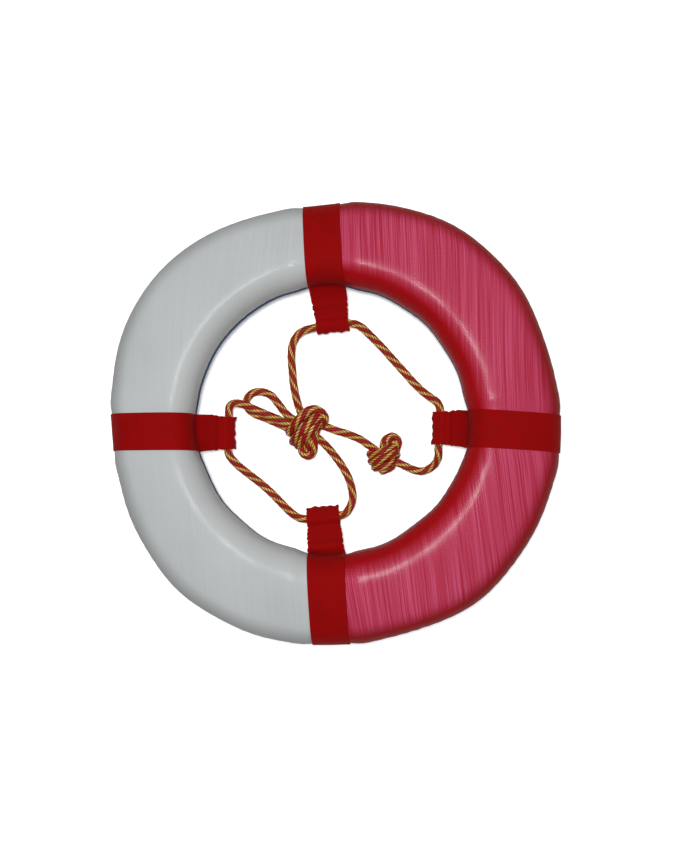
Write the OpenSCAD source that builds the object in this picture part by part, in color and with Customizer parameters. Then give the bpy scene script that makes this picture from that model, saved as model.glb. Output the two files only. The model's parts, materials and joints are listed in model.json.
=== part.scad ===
// Ring lifebuoy: a foam ring in a sewn three-colour cover, four webbing straps
// and a knotted grab rope that is threaded through the strap tabs.
// The ring lies on its back, front face up. X points right, Y points to the top
// strap, Z points up. The origin is on the resting plane under the ring's centre.

/* [Ring] */
// Radius of the hole, at the cover
hole_radius = 180; // [178:0.5:183]
// Radius over the cover at the outer wall
cover_radius = 297.8; // [292:0.2:300]
// Height of the covered tube at its crown
tube_height = 88; // [84:1:92]
// Radius of the tube's rounded corners at the hole
corner_radius = 30; // [26:1:32]
// Radius of the tube's rounded corners at the rim
rim_radius = 38; // [30:1:39]
// How far the front face falls from the crown to the outer wall
face_fall = 8; // [0:1:12]

/* [Cover] */
// Thickness of the coated fabric
cover_thickness = 1; // [0.6:0.1:1.4]
// Gap between the cover and the foam
foam_gap = 0.2; // [0.1:0.1:0.5]
// Height of the inner seam above the ground
inner_seam_z = 44; // [38:1:60]
// Height of the outer seam above the ground
outer_seam_z = 42; // [36:1:50]
// How far stitching stands proud
thread_proud = 0.4; // [0.2:0.1:0.5]
// Width of a line of stitching
thread_width = 2; // [1:0.5:3]

/* [Straps] */
// Width of the webbing
webbing_width = 50; // [44:1:50]
// Thickness of the webbing
webbing_thickness = 1.6; // [1.2:0.1:1.8]
// Gap between a strap and the cover
strap_gap = 0.6; // [0.6:0.1:0.8]
// Height of the line where the tabs flex
hinge_z = 30; // [29:0.5:32]

/* [Grab rope] */
// Radius of the rope
rope_radius = 5.5; // [4.5:0.1:5.6]
// Height of the rope's centre inside the tabs
tunnel_z = 16; // [15:0.5:17]
// Clear space around the rope inside a tab
tunnel_gap = 1.1; // [1:0.1:1.4]

/* [Hidden] */
$fn = 96;

// The tube's section is four corner circles round this outline of their centres.
cover_z = webbing_thickness + strap_gap;
cover_top = cover_z + tube_height;
near_x = hole_radius + corner_radius;
far_x = cover_radius - rim_radius;
corners = [[near_x, cover_z + corner_radius], [far_x, cover_z + rim_radius],
  [far_x, cover_top - face_fall - rim_radius], [near_x, cover_top - corner_radius]];
corner_radii = [corner_radius, rim_radius, rim_radius, corner_radius];
face_line = corners[2] - corners[3];
face_turn = atan2(face_line[1], face_line[0]) + acos((corner_radius - rim_radius) / norm(face_line));
corner_turns = [[180, 270], [270, 360], [0, face_turn], [face_turn, 180]];
arc_steps = 8;
foam_grow = -cover_thickness - foam_gap;
foam_layer = tube_height / 3;
reach = cover_radius + 20;
all_z = 120;

// Each strap: [angle of the band, sideways shift of the band, the two ends of the
// rope's tunnel in the tab, distance from the hinge to the rope, spare loop length].
// The first tunnel end is the counterclockwise one.
top_strap = [93.5, -3, [[-30, 132], [26, 138]], 33, 0];
left_strap = [180, 14, [[-146, -41], [-146, 15]], 22, 0];
bottom_strap = [273, -17, [[13, -125], [-43, -131]], 42, 5];
right_strap = [356.5, 1, [[145, 21], [143, -35]], 24, 0];

tunnel_radius = rope_radius + tunnel_gap;
loop_radius = tunnel_radius + webbing_thickness;
slide_gap = 0.5;
hinge_gap = 0.5;
neck_length = 16;
neck_end = hole_radius - 1.4;
band_sweep = 40;
rope_drop = hinge_z - tunnel_z;
row_places = [4, 12];
stitches = 9;
stitch_length = 3;
stitch_width = 0.9;
rope_sides = 10;

// The rope's route, from the big knot round both sides of the hole.
function held(point) = [point[0], point[1], tunnel_z];
upper_route = [
  [-38, 2, 16], [-47, 17, 11], [-53, 35, 7], [-57, 55, 6], [-59, 76, 6], [-60, 96, 8],
  [-57, 113, 12], [-47, 126, 15], held(top_strap[2][0]), held(top_strap[2][1]),
  [38, 133, 14], [50, 122, 10], [64, 108, 7], [80, 90, 6], [96, 72, 6], [110, 56, 7],
  [122, 44, 10], [133, 35, 14], [141, 29, 16], held(right_strap[2][0]),
  held(right_strap[2][1]), [143, -45, 14], [139, -55, 10], [131, -62, 7], [120, -66, 6],
  [107, -63, 6], [94, -57, 7], [82, -51, 9], [72, -47, 12]];
middle_route = [
  [60, -39, 13], [49, -31, 8], [36, -22, 6], [20, -15, 6], [4, -10, 6], [-10, -5, 8],
  [-22, -1, 12]];
lower_route = [
  [-31, -14, 15], [-17, -25, 9], [-4, -39, 6], [8, -55, 6], [18, -72, 6], [24, -90, 8],
  [25, -106, 12], [20, -118, 15], held(bottom_strap[2][0]), held(bottom_strap[2][1]),
  [-55, -126, 14], [-68, -115, 10], [-82, -101, 7], [-97, -87, 6], [-112, -75, 7],
  [-126, -64, 10], [-138, -53, 14], held(left_strap[2][0]), held(left_strap[2][1]),
  [-145, 23, 17], [-139, 28, 18], [-128, 27, 18], [-113, 21, 18], [-97, 14, 18],
  [-80, 7, 18], [-64, 0, 18], [-50, -5, 18]];
bight_route = [
  [-50, 3, 8], [-60, 8, 6], [-70, 17, 6], [-79, 29, 6], [-89, 40, 6], [-103, 45, 6],
  [-116, 42, 6], [-123, 32, 6], [-120, 21, 6], [-111, 14, 6], [-96, 8, 6], [-80, 1, 6],
  [-65, -6, 6], [-52, -12, 9]];

// Knots as clumps of round lobes that rest on the ground: [x, y, radius].
big_knot_lobes = [[-24, 11, 15], [-41, -9, 17], [-36, -36, 14]];
small_knot_lobes = [[65, -49, 17], [77, -27, 13]];

// ---- Shapes ----

// The tube's section as one outline, grown outwards by a distance.
module section(grow) {
  polygon([for (i = [0:3], k = [0:arc_steps])
    let (a = corner_turns[i][0] + (corner_turns[i][1] - corner_turns[i][0]) * k / arc_steps)
    corners[i] + (corner_radii[i] + grow) * [cos(a), sin(a)]]);
}

module shell_section(inside, outside) {
  difference() {
    section(outside);
    section(inside);
  }
}

// The part of a section in front of the cover's seams.
module in_front_of_seams() {
  slope = (outer_seam_z - inner_seam_z) / (cover_radius - hole_radius);
  a = hole_radius - 20;
  b = cover_radius + 20;
  polygon([
    [a, inner_seam_z - 20 * slope], [b, outer_seam_z + 20 * slope], [b, all_z], [a, all_z]]);
}

module front_shell(inside, outside) {
  intersection() {
    shell_section(inside, outside);
    in_front_of_seams();
  }
}

module ring(start, sweep) {
  rotate([0, 0, start]) rotate_extrude(angle = sweep) children();
}

function join_angles() = [top_strap[0], bottom_strap[0]];

// ---- Foam and cover ----

module foam_layer_at(index) {
  bottom = cover_z + index * foam_layer;
  color("lightyellow") rotate_extrude() intersection() {
    section(foam_grow);
    translate([0, bottom]) square([reach, foam_layer]);
  }
}

module front_cover(start, sweep, paint) {
  color(paint) ring(start, sweep) front_shell(-cover_thickness, 0);
}

module front_cover_white() {
  front_cover(join_angles()[0], join_angles()[1] - join_angles()[0], "gainsboro");
}

module front_cover_red() {
  front_cover(join_angles()[1], 360 + join_angles()[0] - join_angles()[1], "crimson");
}

module back_cover_blue() {
  color("steelblue") rotate_extrude() difference() {
    shell_section(-cover_thickness, 0);
    in_front_of_seams();
  }
}

module seam_ring(radius, z) {
  color("dimgray") rotate_extrude()
    translate([radius, z - thread_width / 2]) square([thread_proud, thread_width]);
}

module inner_seam_stitching() {
  seam_ring(hole_radius - thread_proud, inner_seam_z);
}

module outer_seam_stitching() {
  seam_ring(cover_radius, outer_seam_z);
}

// One line of stitching across the front at each joint of the two front panels, which
// stops just before the seams' own stitching.
module panel_join_stitching() {
  sweep = thread_width / cover_radius * 180 / PI;
  for (a = join_angles())
    color("gainsboro") ring(a - sweep / 2, sweep) intersection() {
      shell_section(0, thread_proud);
      translate([0, thread_width]) in_front_of_seams();
    }
}

// ---- Straps ----

function tunnel_middle(strap) = (strap[2][0] + strap[2][1]) / 2;
function hinge_axis(strap) = let (d = strap[2][0] - strap[2][1]) d / norm(d);
function outward(strap) = let (t = hinge_axis(strap)) [t[1], -t[0]];
function hinge_point(strap) = tunnel_middle(strap) + strap[3] * outward(strap);
function inward_angle(strap) = atan2(-outward(strap)[1], -outward(strap)[0]);
function droop(strap) = atan2(rope_drop, strap[3]);
function arm(strap) = norm([strap[3], rope_drop]);

// Puts children at a strap's hinge line, with +X towards the hole's centre.
module at_hinge(strap) {
  h = hinge_point(strap);
  translate([h[0], h[1], hinge_z]) rotate([0, 0, inward_angle(strap)]) children();
}

module strap_band(strap) {
  color("darkred") union() {
    intersection() {
      ring(strap[0] - band_sweep / 2, band_sweep)
        shell_section(strap_gap, strap_gap + webbing_thickness);
      rotate([0, 0, strap[0]]) translate([hole_radius / 2, strap[1] - webbing_width / 2, 0])
        cube([reach, webbing_width, all_z]);
    }
    intersection() {
      at_hinge(strap)
        translate([-neck_length, -webbing_width / 2, -webbing_thickness])
          cube([neck_length - webbing_thickness - hinge_gap, webbing_width,
                2 * webbing_thickness]);
      cylinder(r = neck_end, h = all_z);
    }
  }
}

// Side view of a tab: two plies of webbing from the hinge to the loop round the rope.
module tab_profile(strap) {
  far = arm(strap) + slide_gap + strap[4];
  near = strap[3] - slide_gap;
  difference() {
    union() {
      circle(webbing_thickness);
      translate([0, -webbing_thickness]) square([near, 2 * webbing_thickness]);
      translate([near, 0]) circle(loop_radius);
      translate([far, 0]) circle(loop_radius);
      translate([near, -loop_radius]) square([far - near, 2 * loop_radius]);
    }
    translate([near, 0]) circle(tunnel_radius);
    translate([far, 0]) circle(tunnel_radius);
    translate([near, -tunnel_radius]) square([far - near, 2 * tunnel_radius]);
  }
}

module in_tab(strap) {
  at_hinge(strap) rotate([0, droop(strap), 0]) children();
}

module strap_tab(strap) {
  color("firebrick") in_tab(strap) rotate([90, 0, 0])
    linear_extrude(height = webbing_width, center = true) tab_profile(strap);
}

// Two rows of stitches through both plies of a tab, on its upper and lower face.
module tab_stitching(strap) {
  pitch = webbing_width / (stitches + 1);
  color("maroon") in_tab(strap)
    for (x = row_places, i = [1:stitches], side = [0, 1])
      mirror([0, 0, side])
        translate([x - stitch_width / 2, (i - (stitches + 1) / 2) * pitch - stitch_length / 2,
                   webbing_thickness])
          cube([stitch_width, stitch_length, thread_proud]);
}

// ---- Grab rope ----

function unit(v) = v / norm(v);
function heading(route, i) =
  let (n = len(route)) unit(route[min(i + 1, n - 1)] - route[max(i - 1, 0)]);
function ring_points(route, i, radius, sides) =
  let (t = heading(route, i), side = unit(cross(t, [0, 0, 1])), over = cross(side, t))
  [for (k = [0:sides - 1]) let (a = 360 * k / sides)
    route[i] + radius * (cos(a) * side + sin(a) * over)];

// A tube that follows a route, one ring of corners at each point.
module tube(route, radius, sides) {
  n = len(route);
  points = [for (i = [0:n - 1]) each ring_points(route, i, radius, sides)];
  walls = [for (i = [0:n - 2], k = [0:sides - 1])
    let (a = i * sides + k, b = i * sides + (k + 1) % sides)
    each [[a, b, b + sides], [a, b + sides, a + sides]]];
  start_cap = [for (k = [sides - 1:-1:0]) k];
  end_cap = [for (k = [0:sides - 1]) (n - 1) * sides + k];
  polyhedron(points, concat(walls, [start_cap, end_cap]));
}

module rope(route) {
  color("orangered") tube(route, rope_radius, rope_sides);
}

module knot(lobes) {
  color("tomato") union() for (lobe = lobes)
    translate([lobe[0], lobe[1], lobe[2]]) sphere(lobe[2]);
}

foam_layer_at(0);  // foam_core_back
foam_layer_at(1);  // foam_core_middle
foam_layer_at(2);  // foam_core_front
front_cover_white();
front_cover_red();
back_cover_blue();
inner_seam_stitching();
outer_seam_stitching();
panel_join_stitching();
strap_band(top_strap);  // strap_band_top
strap_band(left_strap);  // strap_band_left
strap_band(bottom_strap);  // strap_band_bottom
strap_band(right_strap);  // strap_band_right
strap_tab(top_strap);  // strap_tab_top
strap_tab(left_strap);  // strap_tab_left
strap_tab(bottom_strap);  // strap_tab_bottom
strap_tab(right_strap);  // strap_tab_right
tab_stitching(top_strap);  // tab_stitching_top
tab_stitching(left_strap);  // tab_stitching_left
tab_stitching(bottom_strap);  // tab_stitching_bottom
tab_stitching(right_strap);  // tab_stitching_right
rope(upper_route);  // rope_upper
rope(middle_route);  // rope_middle
rope(lower_route);  // rope_lower
rope(bight_route);  // rope_bight
knot(big_knot_lobes);  // big_knot
knot(small_knot_lobes);  // small_knot
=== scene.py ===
"""Ring lifebuoy: the looks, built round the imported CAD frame. Metres, +Z up, front face up."""

import json
import math

import bmesh
import bpy
import numpy as np
from mathutils import Matrix, Vector


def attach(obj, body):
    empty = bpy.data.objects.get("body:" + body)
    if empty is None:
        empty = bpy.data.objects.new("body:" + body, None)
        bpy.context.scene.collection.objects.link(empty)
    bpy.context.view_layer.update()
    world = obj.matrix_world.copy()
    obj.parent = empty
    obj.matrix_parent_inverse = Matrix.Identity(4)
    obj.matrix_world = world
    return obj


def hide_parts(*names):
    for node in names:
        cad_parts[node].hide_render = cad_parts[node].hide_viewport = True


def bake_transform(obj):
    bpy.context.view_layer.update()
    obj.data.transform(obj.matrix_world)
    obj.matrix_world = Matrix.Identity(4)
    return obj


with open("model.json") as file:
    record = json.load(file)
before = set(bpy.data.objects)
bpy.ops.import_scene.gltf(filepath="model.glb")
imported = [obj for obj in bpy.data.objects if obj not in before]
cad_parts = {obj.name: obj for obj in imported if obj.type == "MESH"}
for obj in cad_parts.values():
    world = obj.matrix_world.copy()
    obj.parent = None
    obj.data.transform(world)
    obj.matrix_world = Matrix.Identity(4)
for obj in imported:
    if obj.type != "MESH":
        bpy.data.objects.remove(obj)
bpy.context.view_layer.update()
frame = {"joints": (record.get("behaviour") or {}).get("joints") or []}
MM = 0.001

# ---- Sizes, in metres. A height is above the plane that the ring rests on ----
HOLE_RADIUS = 0.180
OUTER_RADIUS = 0.3025
TUBE_LOW = 0.0022
TUBE_HIGH = 0.0902
TUBE_MIDDLE = 0.045
RIM_HIGH = 0.0822
SEAM_INNER_Z = 0.044
SEAM_OUTER_Z = 0.042
FOAM_CUTS = (0.0315, 0.0609)
COVER_THICK = 0.001
FOAM_DEPTH = 0.0032  # from the cover's outside
WEB_WIDTH = 0.050
WEB_THICK = 0.0016
STRAP_GAP = 0.0002
BEND_HALF = 0.006  # half the stretch over which a strap bends at its hinge
ROPE_RADIUS = 0.0055
TUNNEL_RADIUS = 0.0075
ROPE_HEIGHT = 0.016  # of the rope's middle in the tabs
STITCH_FROM, STITCH_TO = 0.004, 0.012  # a tab's stitches, from its hinge

# The tube's section has four round corners: their radii and the heights of their centres.
CORNER = 0.030
RIM_CORNER = 0.038
CENTRE_LOW = TUBE_LOW + CORNER
CENTRE_CROWN = TUBE_HIGH - CORNER
CENTRE_RIM_LOW = TUBE_LOW + RIM_CORNER
CENTRE_RIM = RIM_HIGH - RIM_CORNER

# Each strap: angle of its band in degrees, sideways shift, hinge to rope, spare loop length.
STRAPS = {
    "top": (93.5, -0.003, 0.033, 0.0),
    "left": (180.0, 0.014, 0.022, 0.0),
    "bottom": (273.0, -0.017, 0.042, 0.005),
    "right": (356.5, 0.001, 0.024, 0.0),
}
HINGES = {j["name"].split("_")[1]: j for j in frame["joints"] if j["type"] == "hinge"}

# The white and the red panel meet under the top and the bottom strap.
JOIN_TOP, JOIN_BOTTOM = STRAPS["top"][0], STRAPS["bottom"][0]

# The grab rope's stretches between its knots, as in the CAD model.
UPPER_ROUTE = [
    (-0.038, 0.002, 0.016), (-0.047, 0.017, 0.011), (-0.053, 0.035, 0.007), (-0.057, 0.055, 0.006),
    (-0.059, 0.076, 0.006), (-0.060, 0.096, 0.008), (-0.057, 0.113, 0.012), (-0.047, 0.126, 0.015),
    (-0.030, 0.132, 0.016), (0.026, 0.138, 0.016), (0.038, 0.133, 0.014), (0.050, 0.122, 0.010),
    (0.064, 0.108, 0.007), (0.080, 0.090, 0.006), (0.096, 0.072, 0.006), (0.110, 0.056, 0.007),
    (0.122, 0.044, 0.010), (0.133, 0.035, 0.014), (0.141, 0.029, 0.016), (0.145, 0.021, 0.016),
    (0.143, -0.035, 0.016), (0.143, -0.045, 0.014), (0.139, -0.055, 0.010), (0.131, -0.062, 0.007),
    (0.120, -0.066, 0.006), (0.107, -0.063, 0.006), (0.094, -0.057, 0.007), (0.082, -0.051, 0.009),
    (0.072, -0.047, 0.012)]
MIDDLE_ROUTE = [
    (0.060, -0.039, 0.013), (0.049, -0.031, 0.008), (0.036, -0.022, 0.006), (0.020, -0.015, 0.006),
    (0.004, -0.010, 0.006), (-0.010, -0.005, 0.008), (-0.022, -0.001, 0.012)]
LOWER_ROUTE = [
    (-0.031, -0.014, 0.015), (-0.017, -0.025, 0.009), (-0.004, -0.039, 0.006), (0.008, -0.055, 0.006),
    (0.018, -0.072, 0.006), (0.024, -0.090, 0.008), (0.025, -0.106, 0.012), (0.020, -0.118, 0.015),
    (0.013, -0.125, 0.016), (-0.043, -0.131, 0.016), (-0.055, -0.126, 0.014), (-0.068, -0.115, 0.010),
    (-0.082, -0.101, 0.007), (-0.097, -0.087, 0.006), (-0.112, -0.075, 0.007), (-0.126, -0.064, 0.010),
    (-0.138, -0.053, 0.014), (-0.146, -0.041, 0.016), (-0.146, 0.015, 0.016), (-0.145, 0.023, 0.017),
    (-0.139, 0.028, 0.018), (-0.128, 0.027, 0.018), (-0.113, 0.021, 0.018), (-0.097, 0.014, 0.018),
    (-0.080, 0.007, 0.018), (-0.064, 0.000, 0.018), (-0.050, -0.005, 0.018)]
BIGHT_ROUTE = [
    (-0.050, 0.003, 0.008), (-0.060, 0.008, 0.006), (-0.070, 0.017, 0.006), (-0.079, 0.029, 0.006),
    (-0.089, 0.040, 0.006), (-0.103, 0.045, 0.006), (-0.116, 0.042, 0.006), (-0.123, 0.032, 0.006),
    (-0.120, 0.021, 0.006), (-0.111, 0.014, 0.006), (-0.096, 0.008, 0.006), (-0.080, 0.001, 0.006),
    (-0.065, -0.006, 0.006), (-0.052, -0.012, 0.009)]


# ---- Camera ----

SENSOR_MM = 36
LENS_MM = 47.2
CAMERA_PLACE = (0.09, -0.09, 1.545)
CAMERA_AIM = (0.0097, -0.004, 0.045)


def make_camera():
    """Looks down at the ring from a little way to the lower right, as the photograph does."""
    data = bpy.data.cameras.new("camera")
    data.sensor_width = SENSOR_MM
    data.lens = LENS_MM
    camera = bpy.data.objects.new("camera", data)
    bpy.context.scene.collection.objects.link(camera)
    camera.location = CAMERA_PLACE
    forward = (Vector(CAMERA_AIM) - camera.location).normalized()
    side = forward.cross(Vector((0, 1, 0))).normalized()
    up = side.cross(forward)
    camera.matrix_world = Matrix((
        (side.x, up.x, -forward.x, camera.location.x),
        (side.y, up.y, -forward.y, camera.location.y),
        (side.z, up.z, -forward.z, camera.location.z),
        (0, 0, 0, 1)))
    bpy.context.scene.camera = camera


make_camera()


# ---- Mesh helpers ----

def mesh_object(name, points, faces, uvs=None):
    """An object from a list of points and faces. uvs holds one pair for each face corner."""
    mesh = bpy.data.meshes.new(name)
    mesh.from_pydata(np.asarray(points, float).tolist(), [], faces)
    if uvs is not None:
        layer = mesh.uv_layers.new(name="cloth")
        layer.data.foreach_set("uv", np.asarray(uvs, np.float32).ravel())
    mesh.validate()
    mesh.shade_smooth()
    thing = bpy.data.objects.new(name, mesh)
    bpy.context.scene.collection.objects.link(thing)
    return thing


def grid_faces(rows, columns, close_rows, close_columns):
    """Quads of a grid, and for each corner its place in the grid without wrapping."""
    i, j = np.meshgrid(
        np.arange(rows if close_rows else rows - 1),
        np.arange(columns if close_columns else columns - 1), indexing="ij")
    corners = np.stack([
        np.stack([i + a, j + b], -1) for a, b in ((0, 0), (1, 0), (1, 1), (0, 1))], -2)
    corners = corners.reshape(-1, 4, 2)
    index = (corners[..., 0] % rows) * columns + corners[..., 1] % columns
    return index, corners


def loft(name, rings, uv=None, close_rows=True, caps=False):
    """A closed skin through rings[i, j]. Each ring of points is closed; rows may be too.
    uv[i, j] has one more row and column than the rings where they wrap."""
    rows, columns = rings.shape[:2]
    faces, corners = grid_faces(rows, columns, close_rows, True)
    uvs = None
    if uv is not None:
        uvs = uv[corners[..., 0], corners[..., 1]].reshape(-1, 2)
    faces = faces.tolist()
    if caps:
        half = columns // 2
        for row in (0, rows - 1):
            for k in range(half - 1):
                quad = [row * columns + n for n in (k, k + 1, columns - 2 - k, columns - 1 - k)]
                faces.append(quad)
                if uv is not None:
                    extra = [uv[row, k], uv[row, k + 1], uv[row, k + 1], uv[row, k]]
                    uvs = np.concatenate([uvs, np.array(extra)])
    thing = mesh_object(name, rings.reshape(-1, 3), faces, uvs)
    work = bmesh.new()
    work.from_mesh(thing.data)
    bmesh.ops.recalc_face_normals(work, faces=work.faces)
    work.to_mesh(thing.data)
    work.free()
    return thing


# ---- The tube's shape ----

def bump(x, width):
    """A smooth hump round zero, one high."""
    return np.exp(-(x / width) ** 2)


def smooth(x):
    """A smooth rise from zero to one."""
    x = np.clip(x, 0, 1)
    return x * x * (3 - 2 * x)


def bulge(theta, angle, spread, height):
    """A smooth swelling round the ring, with its angle and spread in degrees."""
    return height * bump(np.mod(np.degrees(theta) - angle + 180, 360) - 180, spread)


def shifted_circle(theta, mean, shift, angle):
    """Radius of a circle whose middle is shifted a little towards an angle in degrees."""
    return mean + shift * np.cos(theta - math.radians(angle))


# Bulges: angle and spread in degrees, and how far each stands out.
HOLE_CIRCLE = {"mean": 0.1823, "shift": 0.006, "angle": 140}
HOLE_WIDENED = (348, 24, 0.006)
CROWN_CIRCLE = {"mean": 0.215, "shift": 0.002, "angle": 150}
RIM_PULLED_IN = 0.298
RIM_BULGES = [
    (50, 32, 0.0155), (97, 16, -0.0045), (144, 30, 0.018), (228, 27, 0.010), (285, 12, -0.002),
    (315, 22, 0.010), (352, 18, 0.0075)]


def hole_edge(theta):
    """Radius of the hole, which is widened beside the right strap."""
    return shifted_circle(theta, **HOLE_CIRCLE) + bulge(theta, *HOLE_WIDENED)


def crown_line(theta):
    """Radius of the line along the top of the tube."""
    return shifted_circle(theta, **CROWN_CIRCLE)


def rim_edge(theta):
    """Radius of the rim, which stands out unevenly between the straps."""
    return RIM_PULLED_IN + sum(bulge(theta, *place) for place in RIM_BULGES)


def ring_keys(points):
    """Each point: (0 for the inner and 1 for the outer corner, height of its centre, direction
    of the surface in degrees, steps from the point before)."""
    rows = []
    for (x0, z0, a0, _), (x1, z1, a1, steps) in zip(points, points[1:]):
        t = np.arange(steps)[:, None] / steps
        rows.append(np.array([x0, z0, a0], float) * (1 - t) + np.array([x1, z1, a1], float) * t)
    return np.concatenate(rows)


FACE_LINE = (OUTER_RADIUS - RIM_CORNER - HOLE_RADIUS - CORNER, CENTRE_RIM - CENTRE_CROWN)
FACE_TURN = math.degrees(math.atan2(FACE_LINE[1], FACE_LINE[0])
                         + math.acos((CORNER - RIM_CORNER) / math.hypot(*FACE_LINE)))
SECTION_POINTS = [
    (0, SEAM_INNER_Z, 180, 0), (0, CENTRE_CROWN, 180, 8), (0, CENTRE_CROWN, FACE_TURN, 26),
    (1, CENTRE_RIM, FACE_TURN, 26), (1, CENTRE_RIM, 0, 27), (1, SEAM_OUTER_Z, 0, 1),
    (1, CENTRE_RIM_LOW, 0, 1), (1, CENTRE_RIM_LOW, -90, 30), (0, CENTRE_LOW, -90, 25),
    (0, CENTRE_LOW, -180, 24), (0, SEAM_INNER_Z, -180, 6)]
SECTION = ring_keys(SECTION_POINTS)
OUTER_SEAM = sum(point[3] for point in SECTION_POINTS[:6])
FRONT = np.arange(OUTER_SEAM + 1)
BACK = np.append(np.arange(OUTER_SEAM, len(SECTION)), 0)


FACE_SWELL = 0.0016
WALL_SWELL = 0.0006
SMOOTHING_PASSES = 14


def plain_section(theta):
    """Smoothed points [theta, station] of the tube as (radius, height), and their normals."""
    hole, crown, rim = (edge(theta)[:, None] for edge in (hole_edge, crown_line, rim_edge))
    turn = np.radians(SECTION[:, 2])
    at_rim = SECTION[:, 0]
    wall = np.abs(np.cos(turn)) > 0.999
    swell = FACE_SWELL * 4 * at_rim * (1 - at_rim) * (SECTION[:, 2] > 0) + WALL_SWELL * wall
    middle = crown + (rim - RIM_CORNER - crown) * at_rim
    r = middle + ((crown - hole) * (1 - at_rim) + RIM_CORNER * at_rim + swell) * np.cos(turn)
    z = SECTION[:, 1] + (CORNER * (1 - at_rim) + RIM_CORNER * at_rim + swell) * np.sin(turn) + 0 * r
    points = np.stack([r, z], -1)
    for _ in range(SMOOTHING_PASSES):
        points = (np.roll(points, 1, 1) + 2 * points + np.roll(points, -1, 1)) / 4
    along = np.roll(points, -1, 1) - np.roll(points, 1, 1)
    along /= np.linalg.norm(along, axis=-1, keepdims=True)
    return points, np.stack([-along[..., 1], along[..., 0]], -1)


def running_length(points):
    """Length along a line of points, from the first to each of them."""
    return np.concatenate([[0], np.cumsum(np.linalg.norm(np.diff(points, axis=0), axis=1))])


def section_lengths():
    """Length of cloth from the inner seam to each station, over the front and round the back.
    It is measured half way between the top and the right strap."""
    points = plain_section(np.radians([45.0]))[0][0]
    return running_length(np.concatenate([points, points[:1]]))


ALONG = section_lengths()


def waves(theta, low, high, seed):
    """An uneven ripple round the ring, about 1 high, of low to high waves in a turn."""
    random = np.random.default_rng(seed)
    counts = random.integers(low, high, 7)
    phases = random.uniform(0, 2 * math.pi, 7)
    return sum(np.cos(n * theta + p) for n, p in zip(counts, phases))[:, None] / 3


def strap_offset(theta, r, strap):
    """Sideways distance of a point from the middle of a strap's band, large on the far side."""
    band, shift = STRAPS[strap][:2]
    turn = theta - math.radians(band)
    return np.where(np.cos(turn) > 0, r * np.sin(turn) - shift, 1.0)


# Where a strap presses: depth and half width. The swelling beside it: height, distance, spread.
PRESS_DEPTH, PRESS_HALF = 0.0022, 0.031
SWELL_HEIGHT, SWELL_PLACE, SWELL_SPREAD = 0.0008, 0.046, 0.014


def strap_press(theta, r):
    """Straps press the cloth in, and it swells a little beside them. Not on the back face."""
    from_wall = np.minimum(np.abs(SECTION[:, 2]), 180 - np.abs(SECTION[:, 2]))
    held = np.where(SECTION[:, 2] < 0, np.clip(1 - from_wall / 60, 0, 1), 1)
    total = 0
    for strap in STRAPS:
        d = strap_offset(theta[:, None], r, strap)
        beside = bump(d - SWELL_PLACE, SWELL_SPREAD) + bump(d + SWELL_PLACE, SWELL_SPREAD)
        total = total - PRESS_DEPTH * np.exp(-(d / PRESS_HALF) ** 4)
        total = total + SWELL_HEIGHT * beside
    return total * held


# The seams and the gathers beside them: depth, and spread along the cloth from the seam.
SEAM_DEPTH, SEAM_SPREAD = 0.0012, 0.0022
INNER_GATHER, INNER_GATHER_SPREAD = 0.00015, 0.020
OUTER_GATHER, OUTER_GATHER_SPREAD = 0.0002, 0.018
SLACK = 0.0007
STRAP_HOLDS = 0.033


def relief(theta, r):
    """How far the cloth stands off the plain section: seams, gathers and slack."""
    from_inner = np.minimum(ALONG[:-1], ALONG[-1] - ALONG[:-1])
    from_outer = np.abs(ALONG[:-1] - ALONG[OUTER_SEAM])
    seam = bump(from_inner, SEAM_SPREAD) + bump(from_outer, SEAM_SPREAD)
    inner_gathers = bump(from_inner, INNER_GATHER_SPREAD) * waves(theta, 60, 120, 3) * INNER_GATHER
    outer_gathers = bump(from_outer, OUTER_GATHER_SPREAD) * waves(theta, 70, 150, 5) * OUTER_GATHER
    depth = inner_gathers + outer_gathers + waves(theta, 6, 18, 7) * SLACK - SEAM_DEPTH * seam
    for strap in STRAPS:
        depth = depth * (1 - np.exp(-(strap_offset(theta[:, None], r, strap) / STRAP_HOLDS) ** 8))
    return depth


def skin(theta, grow=0.0, lively=True):
    """Points [theta, station] of the tube's surface."""
    points, normals = plain_section(theta)
    r = points[..., 0]
    depth = grow + strap_press(theta, r)
    if lively:
        depth = depth + relief(theta, r)
    points = points + normals * depth[..., None]
    r, z = points[..., 0], points[..., 1]
    return np.stack([r * np.cos(theta[:, None]), r * np.sin(theta[:, None]), z], -1)


def flat_radii(where):
    """Radius in the flat pattern of each station of a panel. The crown of the front keeps its own
    radius, and so does the outer edge of the back's flat part."""
    if where[0] == 0:
        from_inner_seam = ALONG[where]
        level = np.argmin(np.abs(SECTION[where, 2] - 90))
        kept = HOLE_RADIUS + CORNER
    else:
        from_inner_seam = ALONG[-1] - np.append(ALONG[where[:-1]], ALONG[-1])
        level = np.argmin(np.abs(SECTION[where, 2] + 90))
        kept = OUTER_RADIUS - RIM_CORNER
    return kept + from_inner_seam - from_inner_seam[level]


def cover(name, node, where, start, end, steps):
    """One panel of the cover, as a closed thin sheet from angle start to end, in degrees.
    Its UV map is its flat pattern in metres."""
    whole = end - start >= 360
    theta = np.radians(np.linspace(start, end, steps + 1))
    outside = skin(theta)[:, where]
    inside = skin(theta, -COVER_THICK)[:, where]
    radius = flat_radii(where)
    uv = np.stack([radius * np.cos(theta[:, None]), radius * np.sin(theta[:, None])], -1)
    rings = np.concatenate([outside, inside[:, ::-1]], 1)
    uv = np.concatenate([uv, uv[:, ::-1], uv[:, :1]], 1)
    piece = loft(name, rings[:-1] if whole else rings, uv, close_rows=whole, caps=not whole)
    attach(piece, "ring")
    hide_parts(node)
    return piece


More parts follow.
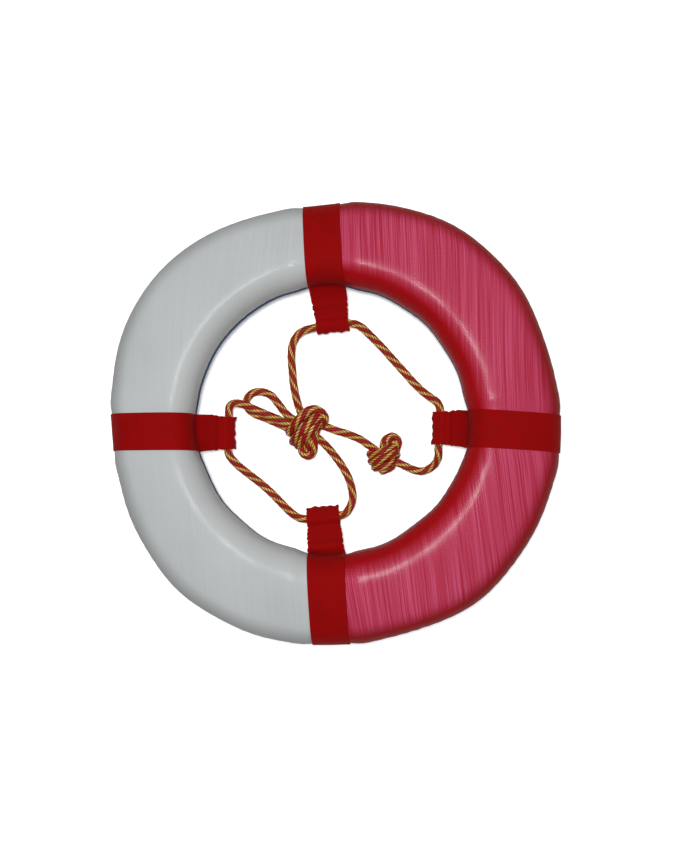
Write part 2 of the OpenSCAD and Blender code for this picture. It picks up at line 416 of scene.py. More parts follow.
def foam(name, node, low, high):
    """One layer of the foam core, cut flat between two heights."""
    theta = np.radians(np.linspace(0, 360, 181))[:-1]
    rings = skin(theta, -FOAM_DEPTH, lively=False)
    for ring in rings:
        r, z = np.hypot(ring[:, 0], ring[:, 1]), ring[:, 2].copy()
        top, bottom = np.argmax(z), np.argmin(z)
        outside = np.arange(top, bottom + 1)
        inside = np.concatenate([np.arange(bottom, len(z)), np.arange(top + 1)])
        for cut, beyond in ((low, z < low), (high, z > high)):
            far = np.interp(cut, z[outside][::-1], r[outside][::-1])
            near = np.interp(cut, z[inside], r[inside])
            ring[beyond, :2] *= (np.clip(r, near, far) / r)[beyond, None]
            ring[beyond, 2] = cut
    piece = loft(name, rings)
    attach(piece, "ring")
    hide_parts(node)
    return piece


# ---- Straps ----

def unit(v):
    """Vectors scaled to a length of one."""
    return v / np.linalg.norm(v, axis=-1, keepdims=True)


# The part of the section that a band covers: from the inner wall, over the front and the back,
# to the lower inner corner.
BAND = np.arange(3, len(SECTION) - 13)


def on_tube(strap, across, grow):
    """Points [station, across] over the tube on a strap's band, out of 34 degrees of the ring."""
    band = STRAPS[strap][0]
    theta = np.radians(band + np.linspace(-17, 17, 103))
    points = skin(theta, grow, lively=False)[:, BAND]
    offset = strap_offset(theta[:, None], np.hypot(points[..., 0], points[..., 1]), strap)
    return np.stack([
        np.stack([np.interp(across, offset[:, k], points[:, k, axis]) for axis in range(3)], -1)
        for k in range(len(BAND))])


def bezier(a, b, leave, arrive, steps):
    """Points between a and b, without the ends, that leave and arrive along two vectors."""
    t = np.linspace(0, 1, steps + 2)[1:-1, None, None]
    p, q = a + leave, b - arrive
    return ((1 - t) ** 3 * a + 3 * (1 - t) ** 2 * t * p + 3 * (1 - t) * t * t * q + t ** 3 * b)


# A tab: half the distance between its plies, where they part before the rope and over what
# length, and how much narrower its end is.
HALF_PLIES_APART = 0.00085
PART_BEFORE, PART_LENGTH = 0.012, 0.010
END_NARROWER = 0.11

# The stitches pinch its edges and pucker its faces. Waves are in radians per metre.
PINCH, PINCH_SPREAD = 0.0010, 0.0015
PUCKER, PUCKER_SPREAD = 0.00022, 0.006
PUCKER_WAVE_ACROSS, PUCKER_WAVE_ALONG = 1360, 300
EDGE_ROUGHNESS = 0.0005
END_WAVE = 0.0009
EDGE_SAG = 0.0008


def ripple(parts, x):
    """A sum of waves, each (size, radians per metre, phase)."""
    return sum(size * np.cos(x * f + phase) for size, f, phase in parts)


class Tab:
    """A strap's tab: two plies from the hinge, and a loop round the rope at the end."""

    def __init__(self, strap, seed):
        joint = HINGES[strap]
        self.hinge, self.axis = np.array(joint["pos_m"]), np.array(joint["axis"])
        reach, spare = STRAPS[strap][2:]
        drop = self.hinge[2] - ROPE_HEIGHT
        inward = np.array([-self.axis[1], self.axis[0], 0.0])
        droop = math.atan2(drop, reach)
        self.along = inward * math.cos(droop) - np.array([0, 0, math.sin(droop)])
        self.up = np.array([0, 0, math.cos(droop)]) + inward * math.sin(droop)
        self.near = reach - 0.0005
        self.far = math.hypot(reach, drop) + 0.0005 + spare
        self.radius = TUNNEL_RADIUS + WEB_THICK / 2
        random = np.random.default_rng(seed)
        self.ripples = [(random.uniform(0.4, 1), f, random.uniform(0, 6)) for f in (150, 290, 520)]
        self.edges = [(random.uniform(0.3, 1), f, random.uniform(0, 6)) for f in (250, 600, 1100)]

    def gap(self, u):
        """Half the distance between the plies' middles at a distance from the hinge."""
        opening = smooth((u - self.near + PART_BEFORE) / PART_LENGTH)
        return HALF_PLIES_APART + (self.radius - HALF_PLIES_APART) * opening

    def row(self, u, v, across):
        """Points across the webbing at distance u from the hinge and v above the middle."""
        upper = v > 0
        side = np.sign(across) * (1 if upper else 1.7)
        share = np.abs(across) / (WEB_WIDTH / 2)
        at_end = smooth((u - self.near) / (self.far + self.radius - self.near))
        pinch = PINCH * (bump(u - STITCH_FROM, PINCH_SPREAD) + bump(u - STITCH_TO, PINCH_SPREAD))
        rough = ripple(self.edges, u + side * 0.01) * EDGE_ROUGHNESS * smooth((u + 0.01) / 0.015)
        width = across * (1 - END_NARROWER * smooth((u + 0.004) / self.far))
        width = width + np.sign(across) * share ** 4 * (rough - pinch)
        stitched = bump(u - (STITCH_FROM + STITCH_TO) / 2, PUCKER_SPREAD)
        pucker = stitched * np.cos(across * PUCKER_WAVE_ACROSS + u * PUCKER_WAVE_ALONG) * PUCKER
        wave = ripple(self.ripples, across) * END_WAVE * at_end
        sag = EDGE_SAG * smooth(u / self.far) * share ** 3
        lift = v + pucker - sag if upper else v - pucker
        points = self.hinge + self.along * (u + wave)[:, None] + self.axis * width[:, None]
        return points + self.up * lift[:, None]


def strap_web(strap, tab):
    """One strap: a closed loop of webbing over the tube, with its tab round the rope."""
    half = WEB_WIDTH / 2
    edge = WEB_THICK / 2
    inner_columns = np.linspace(-half + edge, half - edge, 33)
    outer_columns = half - edge + edge * np.sin(np.radians([30, 60, 90]))
    across = np.concatenate([-outer_columns[::-1], inner_columns, outer_columns])
    rim = (np.abs(across) - (half - edge)) / edge
    thick = edge * np.sqrt(np.clip(1 - np.clip(rim, 0, 1) ** 2, 0.02, 1))
    quarter = np.radians(np.linspace(0, 90, 7))
    rows = [(tab.far + tab.radius * math.cos(a), tab.radius * math.sin(a)) for a in quarter]
    rows += [(u, tab.gap(u)) for u in np.linspace(tab.far, 0, 40)[1:]]
    top = np.array([tab.row(u, v, across) for u, v in rows])
    rows = [(u, -tab.gap(u)) for u in np.linspace(0, tab.far, 40)]
    rows += [(tab.far + tab.radius * math.cos(a), -tab.radius * math.sin(a)) for a in quarter[-2:0:-1]]
    under = np.array([tab.row(u, v, across) for u, v in rows])
    over = on_tube(strap, across, STRAP_GAP + edge)
    rise = bezier(top[-1], over[0], -tab.along * BEND_HALF, np.array([0, 0, BEND_HALF]), 6)
    climb = unit(over[-1] - over[-2]) * BEND_HALF
    fall = bezier(over[-1], under[0], climb, tab.along * BEND_HALF, 6)
    middle = np.concatenate([top, rise, over, fall, under])
    forward = np.roll(middle, -1, 0) - np.roll(middle, 1, 0)
    normal = unit(np.cross(np.gradient(middle, axis=1), forward))
    outside = middle + normal * thick[:, None]
    inside = middle - normal * thick[:, None]
    rings = np.concatenate([outside, inside[:, ::-1]], 1)
    length = running_length(np.concatenate([middle, middle[:1]])[:, len(across) // 2])
    side = np.concatenate([across, across[::-1], across[:1]])
    uv = np.stack(np.broadcast_arrays(side[None], length[:, None]), -1)
    piece = loft(f"strap_{strap}_webbing", rings, uv)
    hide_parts(f"strap_band_{strap}", f"strap_tab_{strap}")
    bend(piece)
    return piece


def bend(piece):
    """Bakes a piece's transform into its points."""
    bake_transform(piece)


# ---- Rope ----

def curve_through(points, step):
    """Points at even steps along a smooth curve through the given ones (centripetal)."""
    p = np.array(points, float)
    p = np.concatenate([[2 * p[0] - p[1]], p, [2 * p[-1] - p[-2]]])
    dense = []
    for i in range(1, len(p) - 2):
        a, b, c, d = p[i - 1:i + 3]
        chords = [math.sqrt(np.linalg.norm(y - x)) for x, y in ((a, b), (b, c), (c, d))]
        t0, t1, t2, t3 = np.cumsum([0] + chords)
        t = np.linspace(t1, t2, 24, endpoint=False)[:, None]
        e = (t1 - t) / (t1 - t0) * a + (t - t0) / (t1 - t0) * b
        f = (t2 - t) / (t2 - t1) * b + (t - t1) / (t2 - t1) * c
        g = (t3 - t) / (t3 - t2) * c + (t - t2) / (t3 - t2) * d
        h = (t2 - t) / (t2 - t0) * e + (t - t0) / (t2 - t0) * f
        k = (t3 - t) / (t3 - t1) * f + (t - t1) / (t3 - t1) * g
        dense.append((t2 - t) / (t2 - t1) * h + (t - t1) / (t2 - t1) * k)
    dense = np.concatenate(dense + [p[-2:-1]])
    along = running_length(dense)
    places = np.linspace(0, along[-1], max(4, int(along[-1] / step)))
    return np.stack([np.interp(places, along, dense[:, k]) for k in range(3)], -1), places


# The rope's pattern: rows and yarns counted round it, and the length in which each turns once.
ROWS = 6
ROW_LAY = 0.068
YARNS = 12
YARN_LAY = 0.139

# Its mesh: points round it, distance between rings of points, and length of its drawn-in ends.
ROUND = 72
ROPE_STEP = 0.001
ROPE_END = 0.003

# The pattern starts this much later on each length of rope in a knot.
PATTERN_SHIFT = 0.0071


def rope_radius(turn, along):
    """The rope's surface: slanting rows of short yarns, which lie nearly along the rope."""
    row = ROWS * (turn - along / ROW_LAY)
    yarn = YARNS * (turn + along / YARN_LAY) + 0.5 * np.floor(row)
    lobe = np.abs(np.sin(math.pi * row)) ** 0.6
    ridge = np.abs(np.sin(math.pi * yarn)) ** 0.7
    return ROPE_RADIUS * (0.86 + 0.08 * lobe) + 0.0005 * ridge * (0.3 + 0.7 * lobe)


def rope_rings(points, places, offset, girth):
    """The rope's surface round a path, with its ends drawn in. offset turns its pattern."""
    tangent = unit(np.gradient(points, axis=0))
    side = np.zeros_like(points)
    side[0] = unit(np.cross(tangent[0], [0.1, 0.2, 1.0]))
    for i in range(1, len(points)):
        s = side[i - 1] - tangent[i] * np.dot(side[i - 1], tangent[i])
        side[i] = s / np.linalg.norm(s)
    over = np.cross(side, tangent)
    turn = np.arange(ROUND + 1) / ROUND
    r = rope_radius(turn[None, :-1], (places + offset)[:, None]) * girth
    ends = np.minimum(places, places[-1] - places) / ROPE_END
    r = r * np.sqrt(np.clip(1 - (1 - np.clip(ends, 0, 1)) ** 2, 0.01, 1))[:, None]
    a = 2 * math.pi * turn[:-1]
    rings = points[:, None] + r[..., None] * (
        np.cos(a)[:, None] * side[:, None] + np.sin(a)[:, None] * over[:, None])
    uv = np.stack(np.broadcast_arrays((places + offset)[:, None], turn[None]), -1)
    return rings, uv


def rope_piece(name, routes, unit_size=1.0, girth=1.0):
    """A piece of rope along one route, or several routes in one mesh, as in a knot."""
    points, faces, uvs, paths = [], [], [], []
    base = 0
    for k, route in enumerate(routes):
        path, places = curve_through(np.array(route, float) * unit_size, ROPE_STEP)
        rings, uv = rope_rings(path, places, PATTERN_SHIFT * k, girth)
        index, corners = grid_faces(len(rings), ROUND, False, True)
        uvs.append(uv[corners[..., 0], corners[..., 1]].reshape(-1, 2))
        faces += (index + base).tolist()
        for row, order in ((0, 1), (len(rings) - 1, -1)):
            cap = [base + row * ROUND + n for n in range(ROUND)][::order]
            faces.append(cap)
            uvs.append(np.repeat(uv[row:row + 1, 0], ROUND, 0))
        points.append(rings.reshape(-1, 3))
        paths.append(path)
        base += len(rings) * ROUND
    piece = mesh_object(name, np.concatenate(points), faces, np.concatenate(uvs))
    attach(piece, "grab_rope")
    return piece, paths


# The knots: lengths of rope wound tight, each as points in millimetres.
BIG_KNOT = [
    [(-61, -13, 8), (-61, -11, 16), (-56, -5, 23), (-49, 3, 28), (-41, 11, 30), (-33, 17, 30),
     (-25, 18, 28), (-17, 14, 25), (-13, 7, 20), (-16, 0, 14), (-24, -4, 9), (-35, -7, 7), (-46, -9, 7)],
    [(-57, -25, 8), (-56, -24, 16), (-50, -18, 25), (-43, -11, 31), (-36, -4, 33), (-29, 3, 32),
     (-22, 8, 28), (-16, 8, 21), (-14, 3, 14), (-18, -2, 9)],
    [(-51, -31, 9), (-48, -28, 17), (-42, -21, 25), (-35, -14, 29), (-28, -7, 29), (-23, -1, 25),
     (-21, 2, 16)],
    [(-50, -12, 9), (-48, -22, 12), (-45, -34, 12), (-42, -41, 11), (-36, -44, 11), (-31, -41, 11),
     (-29, -33, 12), (-28, -22, 15), (-26, -12, 18), (-23, -4, 15), (-24, 3, 9)],
    [(-40, -14, 14), (-38, -22, 18), (-37, -30, 17), (-36, -37, 12)],
    [(-44, 12, 8), (-36, 10, 16), (-28, 10, 20), (-20, 10, 15), (-19, 12, 8)],
]
SMALL_KNOT = [
    [(49, -40, 8), (51, -44, 16), (58, -42, 22), (67, -39, 24), (76, -35, 22), (83, -34, 16), (85, -38, 8)],
    [(50, -51, 8), (53, -53, 16), (60, -51, 24), (70, -47, 27), (79, -43, 24), (85, -42, 16), (86, -45, 8)],
    [(55, -60, 8), (57, -61, 14), (64, -60, 20), (73, -57, 21), (80, -53, 17), (84, -50, 9)],
    [(62, -66, 8), (70, -64, 11), (78, -60, 10), (82, -55, 8)],
    [(69, -44, 13), (68, -34, 14), (69, -25, 13), (74, -20, 12), (80, -18, 12), (86, -21, 12), (88, -27, 12),
     (86, -34, 12), (82, -42, 12)],
    [(75, -40, 17), (76, -32, 17), (79, -26, 15), (83, -31, 14), (80, -38, 14)],
]


def make_ropes():
    """The two knots and the four stretches of rope between them."""
    big, _ = rope_piece("big_knot_rope", BIG_KNOT, MM, girth=1.15)
    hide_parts("big_knot")
    small, _ = rope_piece("small_knot_rope", SMALL_KNOT, MM)
    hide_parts("small_knot")
    pieces = [big, small]
    stretches = {
        "rope_upper": (UPPER_ROUTE, [small]),
        "rope_middle": (MIDDLE_ROUTE, []),
        "rope_lower": (LOWER_ROUTE, [big]),
        "rope_bight": (BIGHT_ROUTE, []),
    }
    for node, (route, knots) in stretches.items():
        piece, (path,) = rope_piece(f"{node}_line", [route])
        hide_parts(node)
        pieces.append(piece)
    return pieces


ROPES = make_ropes()
FOAMS = [
    foam("foam_back", "foam_core_back", 0.0, FOAM_CUTS[0]),
    foam("foam_middle", "foam_core_middle", *FOAM_CUTS),
    foam("foam_front", "foam_core_front", FOAM_CUTS[1], TUBE_HIGH)]
WHITE = cover("cover_front_white", "front_cover_white", FRONT, JOIN_TOP, JOIN_BOTTOM, 420)
RED = cover("cover_front_red", "front_cover_red", FRONT, JOIN_BOTTOM, JOIN_TOP + 360, 420)
BLUE = cover("cover_back", "back_cover_blue", BACK, 0.0, 360.0, 400)
TABS = {strap: Tab(strap, 20 + k) for k, strap in enumerate(STRAPS)}
WEBS = [strap_web(strap, tab) for strap, tab in TABS.items()]


# ---- Threads ----

SEAM_STITCH = {"length": 0.0034, "width": 0.0008, "thick": 0.0007}
JOIN_STITCH = {"length": 0.003, "width": 0.0008, "thick": 0.0007}
TAB_STITCH = {"length": STITCH_TO - STITCH_FROM, "width": 0.0009, "thick": 0.0008}
SEAM_STITCH_STEP = 0.0042


def thread_pieces(name, middles, along, outward, length, width, thick):
    """Many short stitches in one mesh: small rounded bars that lie on a surface, and dip into it
    at both ends."""
    rings, sides = 7, 8
    t = np.linspace(-1, 1, rings)[:, None]
    size = np.sqrt(np.clip(1 - t ** 4, 0.02, 1))
    a = np.arange(sides) * 2 * math.pi / sides
    ahead = t * length / 2 + 0 * a
    aside = size * np.cos(a) * width / 2
    above = size * np.sin(a) * thick / 2 - np.abs(t) ** 3 * thick * 0.55
    across = np.cross(along, outward)
    points = middles[:, None, None] + sum(
        direction[:, None, None] * distance[None, ..., None]
        for direction, distance in ((along, ahead), (across, aside), (outward, above)))
    index, _ = grid_faces(rings, sides, False, True)
    count = len(middles)
    faces = (index[None] + (np.arange(count) * rings * sides)[:, None, None]).reshape(-1, 4).tolist()
    for k in range(count):
        base = k * rings * sides
        faces.append([base + n for n in range(sides)][::-1])
        faces.append([base + (rings - 1) * sides + n for n in range(sides)])
    return mesh_object(name, points.reshape(-1, 3), faces)


def on_skin(theta, station):
    """Points on the cloth at one station of the section, counted in whole and part steps."""
    low = int(station) % len(SECTION)
    points = skin(theta)
    return points[:, low] * (1 - station % 1) + points[:, (low + 1) % len(SECTION)] * (station % 1)


def seam_stitches(name, node, station, radius):
    """Stitches round the ring, just in front of a seam."""
    count = int(2 * math.pi * radius / SEAM_STITCH_STEP)
    theta = np.linspace(0, 2 * math.pi, count, endpoint=False)
    middles = on_skin(theta, station)
    along = unit(np.roll(middles, -1, 0) - np.roll(middles, 1, 0))
    climb = unit(on_skin(theta, station + 0.5) - middles)
    outward = unit(np.cross(climb, along))
    outward *= np.sign(np.sum(outward * on_skin_normal(theta, station), -1, keepdims=True))
    piece = thread_pieces(name, middles - outward * 0.0001, along, outward, **SEAM_STITCH)
    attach(piece, "ring")
    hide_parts(node)
    return piece


def on_skin_normal(theta, station):
    """Roughly outwards from the tube's middle at a station."""
    r = (HOLE_RADIUS + OUTER_RADIUS) / 2
    middle = np.stack([r * np.cos(theta), r * np.sin(theta), 0 * theta + TUBE_MIDDLE], -1)
    return on_skin(theta, station) - middle


def join_stitches():
    """Stitches where the white panel meets the red one, sunk in the cloth under two straps."""
    middles, outward = [], []
    stations = range(3, OUTER_SEAM - 1, 2)
    for angle in (JOIN_TOP, JOIN_BOTTOM):
        theta = np.radians([angle])
        middles += [on_skin(theta, station)[0] for station in stations]
        outward += [on_skin_normal(theta, station)[0] for station in stations]
    middles, outward = np.array(middles), unit(np.array(outward))
    along = unit(np.gradient(middles, axis=0))
    outward = unit(outward - along * np.sum(outward * along, -1, keepdims=True))
    sunk = middles - outward * 0.0004
    piece = thread_pieces("panel_join_thread", sunk, along, outward, **JOIN_STITCH)
    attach(piece, "ring")
    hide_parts("panel_join_stitching")
    return piece


def tab_stitches(strap, tab):
    """Cross stitches through both plies of a tab, seen on its two faces."""
    across = np.linspace(-0.0215, 0.0215, 11)
    middles, along, outward = [], [], []
    for face in (1, -1):
        first, last = (tab.row(u, face * tab.gap(u), across) for u in (STITCH_FROM, STITCH_TO))
        last = last + tab.axis * 0.0015
        middles.append((first + last) / 2 + tab.up * face * WEB_THICK / 2)
        along.append(unit(last - first))
        outward.append(np.broadcast_to(tab.up * face, first.shape))
    middles, along, outward = (np.concatenate(part) for part in (middles, along, outward))
    piece = thread_pieces(f"tab_{strap}_thread", middles, along, outward, **TAB_STITCH)
    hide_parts(f"tab_stitching_{strap}")
    bend(piece)
    return piece


SEAM_THREADS = [
    seam_stitches("inner_seam_thread", "inner_seam_stitching", 1.0, HOLE_RADIUS),
    seam_stitches("outer_seam_thread", "outer_seam_stitching", OUTER_SEAM - 1.5, OUTER_RADIUS),
    join_stitches()]
TAB_THREADS = [tab_stitches(strap, tab) for strap, tab in TABS.items()]


# ---- Materials ----

class Graph:
    """A material's nodes, made and joined in short calls. A value may be a number, a colour or
    another node's output."""

    def __init__(self, name):
        self.material = bpy.data.materials.new(name)
        self.material.use_nodes = True
        self.tree = self.material.node_tree
        self.shader = self.tree.nodes["Principled BSDF"]

    def put(self, value, socket):
        if isinstance(value, bpy.types.NodeSocket):
            self.tree.links.new(value, socket)
        else:
            socket.default_value = value

    def node(self, kind, inputs=(), out=0, **settings):
        made = self.tree.nodes.new(kind)
        for key, value in settings.items():
            setattr(made, key, value)
        for key, value in dict(inputs).items():
            self.put(value, made.inputs[key])
        return made.outputs[out]

    def math(self, operation, *values):
        return self.node("ShaderNodeMath", enumerate(values), operation=operation)

    def mix(self, share, a, b):
        made = self.tree.nodes.new("ShaderNodeMix")
        made.data_type = "RGBA"
        self.put(share, made.inputs[0])
        self.put(a, made.inputs[6])
        self.put(b, made.inputs[7])
        return made.outputs[2]

    def noise(self, vector, scale, detail=2.0, rough=0.5):
        return self.node("ShaderNodeTexNoise", {
            "Vector": vector, "Scale": scale, "Detail": detail, "Roughness": rough})

    def spread(self, value, low, high, new_low=0.0, new_high=1.0):
        return self.node("ShaderNodeMapRange", {
            "Value": value, "From Min": low, "From Max": high, "To Min": new_low, "To Max": new_high})

    def uv(self, scale=(1, 1, 1)):
        cloth = self.node("ShaderNodeUVMap", uv_map="cloth")
        return self.node("ShaderNodeMapping", {"Vector": cloth, "Scale": scale})

    def split(self, vector):
        made = self.tree.nodes.new("ShaderNodeSeparateXYZ")
        self.put(vector, made.inputs[0])
        return made.outputs[0], made.outputs[1], made.outputs[2]

    def bump(self, height, distance, strength=1.0, normal=None):
        inputs = {"Height": height, "Distance": distance, "Strength": strength}
        if normal is not None:
            inputs["Normal"] = normal
        return self.node("ShaderNodeBump", inputs)

    def shade(self, **sockets):
        """Sets or joins the shader's inputs, and returns the material."""
        for key, value in sockets.items():
            self.put(value, self.shader.inputs[key.replace("_", " ")])
        return self.material


WEAVE = 0.0018  # width of one thread of the covers


def plain_weave(g, u, v):
    """Height of a plain weave, 0 to 1, with one thread per unit each way, and which thread is up."""
    column = g.math("FLOOR", u)
    row = g.math("FLOOR", v)
    odd = g.math("MODULO", g.math("ABSOLUTE", g.math("ADD", column, row)), 2.0)
    warp = g.math("ABSOLUTE", g.math("SINE", g.math("MULTIPLY", u, math.pi)))
    weft = g.math("ABSOLUTE", g.math("SINE", g.math("MULTIPLY", v, math.pi)))
    over = g.math("MULTIPLY", warp, g.math("POWER", weft, 0.4))
    under = g.math("MULTIPLY", weft, g.math("POWER", warp, 0.4))
    both = g.math("ADD", g.math("MULTIPLY", over, odd),
                  g.math("MULTIPLY", under, g.math("SUBTRACT", 1.0, odd)))
    return g.math("MAXIMUM", both, g.math("MULTIPLY", g.math("MINIMUM", over, under), 0.8)), odd


def slopes(g):
    """How far the surface looks up, and how far it looks away from the ring's middle. They
    mask the covers' painted sheen and painted rim shade.
    """
    normal = g.node("ShaderNodeTexCoord", out=1)
    upward = g.split(normal)[2]
    east, north, _ = g.split(g.node("ShaderNodeTexCoord", out=3))
    away = g.node("ShaderNodeCombineXYZ", {0: east, 1: north})
    away = g.node("ShaderNodeVectorMath", {0: away}, operation="NORMALIZE")
    outward = g.node("ShaderNodeVectorMath", {0: normal, 1: away}, out=1, operation="DOT_PRODUCT")
    return upward, outward


def streaks(g, across, along, across_scale, along_scale, detail):
    """Long thin noise, with its scales across and along the threads in steps per metre."""
    place = g.node("ShaderNodeCombineXYZ", {
        0: g.math("MULTIPLY", across, across_scale), 1: g.math("MULTIPLY", along, along_scale)})
    return g.noise(place, 1.0, detail, 0.6)


def cover_material(name, side, face, streak, lean, coat, dots):
    """Coated woven fabric with slubs along its warp, and a coat that glitters on the threads.
    It has the side colour where it is steep or turned to the hole, and the face and streak
    colours where it faces up: a painted sheen, where they are paler than the side colour. It is
    darker on the rim, which is painted shade. lean tilts the slubs in the lower half of the
    pattern. coat is the strength of the gloss, and dots that of the weave's colour and of the
    painted shade in its hollows."""
    g = Graph(name)
    u, v, _ = g.split(g.uv())
    weave, odd = plain_weave(g, g.math("MULTIPLY", u, 1 / WEAVE), g.math("MULTIPLY", v, 1 / WEAVE))
    warp = g.math("ADD", u, g.math("MULTIPLY", g.math("MINIMUM", v, 0.0), lean))
    fine = g.math("MULTIPLY", streaks(g, warp, v, 1300.0, 6.0, 1.0), 0.65)
    wide = g.math("MULTIPLY", streaks(g, warp, v, 330.0, 2.5, 2.0), 0.35)
    slubs = g.math("ADD", fine, wide)
    lines = g.spread(slubs, 0.40, 0.63)
    upward, outward = slopes(g)
    # open_face is where the surface looks up and not towards the hole: it masks the painted sheen, and the
    # coat's gloss.
    open_face = g.math("MULTIPLY", g.spread(upward, 0.70, 0.97), g.spread(outward, -0.62, -0.10))
    # Painted sheen: the face and streak colours, broken by the slubs, where the cover looks up.
    painted_sheen = g.math("MULTIPLY", open_face, g.spread(lines, 0.0, 1.0, 0.80, 1.0))
    crossing = g.math("MULTIPLY", weave, g.spread(odd, 0.0, 1.0, 0.35, 1.0))
    mottle = g.noise(g.uv(), 9.0, 3.0)
    grain = g.noise(g.uv(), 700.0, 1.0)
    shade = g.mix(painted_sheen, side, g.mix(lines, face, streak))
    # Lighter on the raised threads and darker in the hollows between them: partly the weave's own colour,
    # partly painted shade in its hollows.
    thread_dusk = g.spread(crossing, 0.0, 1.0, -0.6 * dots, dots)
    dusk = g.math("ADD", thread_dusk, g.spread(mottle, 0.3, 0.7, -0.04, 0.04))
    dusk = g.math("ADD", dusk, g.spread(grain, 0.3, 0.7, 0.93, 1.07))
    # Painted shade: the colour is darker where the surface turns out over the rim.
    dusk = g.math("MULTIPLY", dusk, g.spread(outward, 0.35, 0.95, 1.0, 0.70))
    colour = g.node("ShaderNodeVectorMath", {0: shade, 1: dusk}, operation="MULTIPLY")
    normal = g.bump(weave, 0.00016, 0.7)
    normal = g.bump(g.noise(g.uv(), 60.0, 2.0), 0.0003, 0.3, normal)
    glitter = g.bump(g.noise(g.uv(), 650.0, 1.0, 0.7), 0.00017, 1.0)
    return g.shade(Base_Color=colour, Roughness=g.spread(lines, 0.0, 1.0, 0.60, 0.52), Normal=normal,
                   Coat_Weight=g.spread(open_face, 0.0, 1.0, 0.2 * coat, coat), Coat_Roughness=0.10,
                   Coat_Normal=glitter, Specular_IOR_Level=0.05)


CHEVRON = 0.0042
RIB = 0.0013
WARP_CORD = 0.0011


def webbing_material():
    """Dark red webbing: fine ribs across it, and chevrons of warp along it, with painted shade in the
    hollows between them.
    """
    g = Graph("webbing")
    u, v, _ = g.split(g.uv())
    chevron = g.math("PINGPONG", u, CHEVRON)
    rib = g.math("MULTIPLY", g.math("ADD", v, g.math("MULTIPLY", chevron, 0.5)), math.pi / RIB)
    ribs = g.math("ABSOLUTE", g.math("SINE", rib))
    warp = g.math("ABSOLUTE", g.math("SINE", g.math("MULTIPLY", u, math.pi / WARP_CORD)))
    height = g.math("ADD", g.math("MULTIPLY", ribs, 0.6), g.math("MULTIPLY", warp, 0.4))
    mottle = g.noise(g.uv(), 45.0, 3.0)
    fluff = g.noise(g.uv(), 1500.0, 2.0)
    share = g.math("ADD", g.spread(mottle, 0.3, 0.7, 0.2, 0.5), g.spread(fluff, 0.3, 0.7, -0.2, 0.3))
    colour = g.mix(share, (0.20, 0.0006, 0.0006, 1), (0.32, 0.0015, 0.0015, 1))
    # Painted shade: darker in the hollows between the ribs and the warp cords.
    dusk = g.spread(height, 0.0, 1.0, 0.72, 1.08)
    colour = g.node("ShaderNodeVectorMath", {0: colour, 1: dusk}, operation="MULTIPLY")
    normal = g.bump(height, 0.00022, 0.8)
    normal = g.bump(fluff, 0.0001, 0.6, normal)
    return g.shade(Base_Color=colour, Roughness=g.spread(mottle, 0.3, 0.7, 0.72, 0.84),
                   Normal=normal, Specular_IOR_Level=0.06)


def rope_material():
    """Braided rope: rows of red yarns and of gold ones in turn, with painted shade between the yarns."""
    g = Graph("rope")
    u, v, _ = g.split(g.uv())
    row = g.math("MULTIPLY", g.math("SUBTRACT", v, g.math("MULTIPLY", u, 1 / ROW_LAY)), float(ROWS))
    row_number = g.math("FLOOR", row)
    gold = g.math("LESS_THAN", g.math("FLOORED_MODULO", row, 2.0), 1.0)
    yarn = g.math("MULTIPLY", g.math("ADD", v, g.math("MULTIPLY", u, 1 / YARN_LAY)), float(YARNS))
    yarn = g.math("ADD", yarn, g.math("MULTIPLY", row_number, 0.5))
    ridge = g.math("ABSOLUTE", g.math("SINE", g.math("MULTIPLY", yarn, math.pi)))
    lobe = g.math("ABSOLUTE", g.math("SINE", g.math("MULTIPLY", row, math.pi)))
    cell = g.node("ShaderNodeCombineXYZ", {0: g.math("FLOOR", yarn), 1: row_number})
    chance = g.node("ShaderNodeTexWhiteNoise", {"Vector": cell}, noise_dimensions="2D")
    red = g.mix(chance, (0.30, 0.003, 0.004, 1), (0.48, 0.006, 0.010, 1))
    yellow = g.mix(chance, (0.55, 0.31, 0.04, 1), (0.78, 0.55, 0.13, 1))
    yarns = g.mix(gold, red, yellow)
    # Painted shade: dark colours in the hollows between the yarns.
    painted_gap_shade = g.mix(gold, (0.12, 0.0015, 0.0015, 1), (0.16, 0.035, 0.003, 1))
    raised = g.math("MULTIPLY", g.spread(ridge, 0.45, 0.92), g.spread(lobe, 0.15, 0.75))
    colour = g.mix(raised, painted_gap_shade, yarns)
    fibre = g.noise(g.uv((700, 60, 1)), 1.0, 1.0)
    return g.shade(Base_Color=colour, Roughness=g.spread(chance, 0.0, 1.0, 0.5, 0.65),
                   Normal=g.bump(fibre, 0.0001, 0.5), Specular_IOR_Level=0.2)


def thread_material(name, dark, light):
    """Twisted sewing thread, between two shades."""
    g = Graph(name)
    place = g.node("ShaderNodeNewGeometry")
    twist = g.node("ShaderNodeTexNoise", {"Vector": place, "Scale": 1800.0, "Detail": 1.0})
    colour = g.mix(g.spread(twist, 0.35, 0.65), dark, light)
    return g.shade(Base_Color=colour, Roughness=0.7, Normal=g.bump(twist, 0.0001, 0.6),
                   Specular_IOR_Level=0.1)


def foam_material():
    """Cream closed-cell foam."""
    g = Graph("foam")
    place = g.node("ShaderNodeNewGeometry")
    cells = g.node("ShaderNodeTexVoronoi", {"Vector": place, "Scale": 900.0})
    mottle = g.node("ShaderNodeTexNoise", {"Vector": place, "Scale": 30.0, "Detail": 3.0})
    colour = g.mix(mottle, (0.72, 0.68, 0.50, 1), (0.80, 0.77, 0.62, 1))
    return g.shade(Base_Color=colour, Roughness=0.9, Normal=g.bump(cells, 0.0003, 0.5))


def dress(pieces, material):
    """Gives pieces their material."""
    for piece in pieces:
        piece.data.materials.append(material)
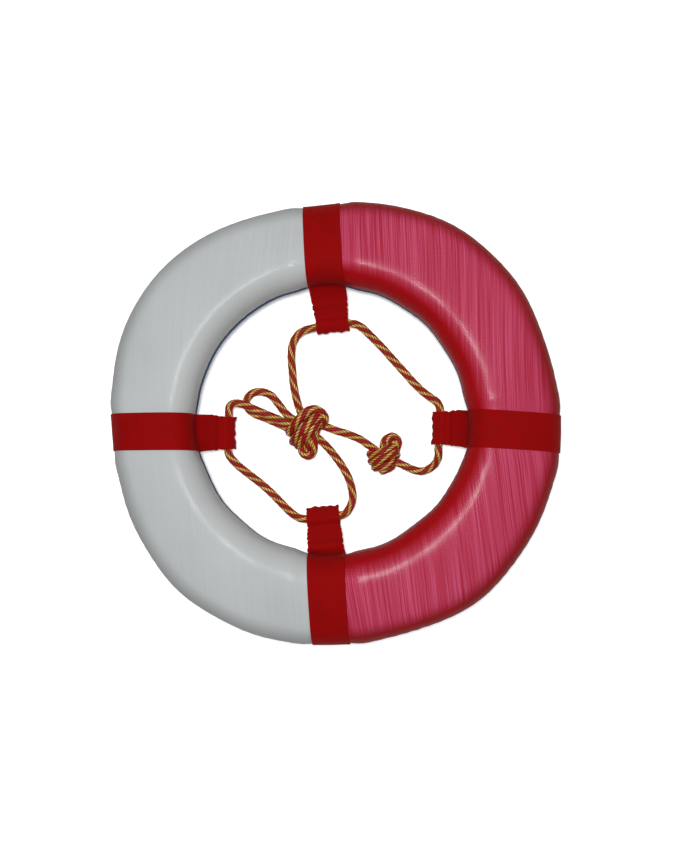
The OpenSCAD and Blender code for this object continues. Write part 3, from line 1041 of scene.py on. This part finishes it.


# The face and streak colours hold the painted sheen of the upper faces; side is the cloth's colour where it
# is steep.
dress([WHITE], cover_material(
    "cover_white", side=(0.42, 0.435, 0.43, 1), face=(0.415, 0.435, 0.44, 1),
    streak=(0.445, 0.465, 0.47, 1), lean=0.0, coat=0.08, dots=0.06))
dress([RED], cover_material(
    "cover_red", side=(0.30, 0.003, 0.005, 1), face=(0.36, 0.016, 0.042, 1),
    streak=(0.52, 0.080, 0.165, 1), lean=0.17, coat=0.11, dots=0.45))
dress([BLUE], cover_material(
    "cover_blue", side=(0.002, 0.045, 0.12, 1), face=(0.002, 0.045, 0.12, 1),
    streak=(0.004, 0.065, 0.17, 1), lean=0.0, coat=0.01, dots=0.1))
dress(FOAMS, foam_material())
dress(WEBS, webbing_material())
dress(ROPES, rope_material())
dress(SEAM_THREADS, thread_material(
    "seam_thread", dark=(0.10, 0.11, 0.12, 1), light=(0.22, 0.23, 0.24, 1)))
dress(TAB_THREADS, thread_material(
    "tab_thread", dark=(0.10, 0.001, 0.001, 1), light=(0.18, 0.001, 0.001, 1)))


# ---- Floor and light ----

def make_stage():
    """A white floor that glows a little, as the photograph's background has no shadow."""
    bpy.ops.mesh.primitive_plane_add(size=12)
    floor = bpy.context.object
    floor.name = "floor"
    g = Graph("floor")
    grain = g.node("ShaderNodeTexNoise", {"Scale": 40.0, "Detail": 2.0})
    colour = g.mix(grain, (0.94, 0.94, 0.94, 1), (0.96, 0.96, 0.96, 1))
    floor.data.materials.append(g.shade(
        Base_Color=colour, Roughness=0.9, Emission_Color=(1, 1, 1, 1), Emission_Strength=0.3))


def lamp(name, place, size, power):
    """A round lamp that shines at the ring's middle."""
    data = bpy.data.lights.new(name, "AREA")
    data.shape = "DISK"
    data.size = size
    data.energy = power
    light = bpy.data.objects.new(name, data)
    bpy.context.scene.collection.objects.link(light)
    light.location = place
    light.rotation_euler = (-Vector(place)).to_track_quat("-Z", "Y").to_euler()


def make_light():
    """A small lamp and a wide one above the ring, and a dim sky."""
    bpy.context.scene.view_settings.view_transform = "Standard"
    world = bpy.data.worlds.new("sky")
    bpy.context.scene.world = world
    world.use_nodes = True
    sky = world.node_tree.nodes["Background"]
    sky.inputs["Color"].default_value = (0.95, 0.97, 1.0, 1)
    sky.inputs["Strength"].default_value = 0.12
    lamp("lamp_key", (0.04, 0.0, 2.3), size=0.3, power=24)
    lamp("lamp_soft", (-0.05, 0.15, 2.3), size=1.0, power=30)


make_stage()
make_light()
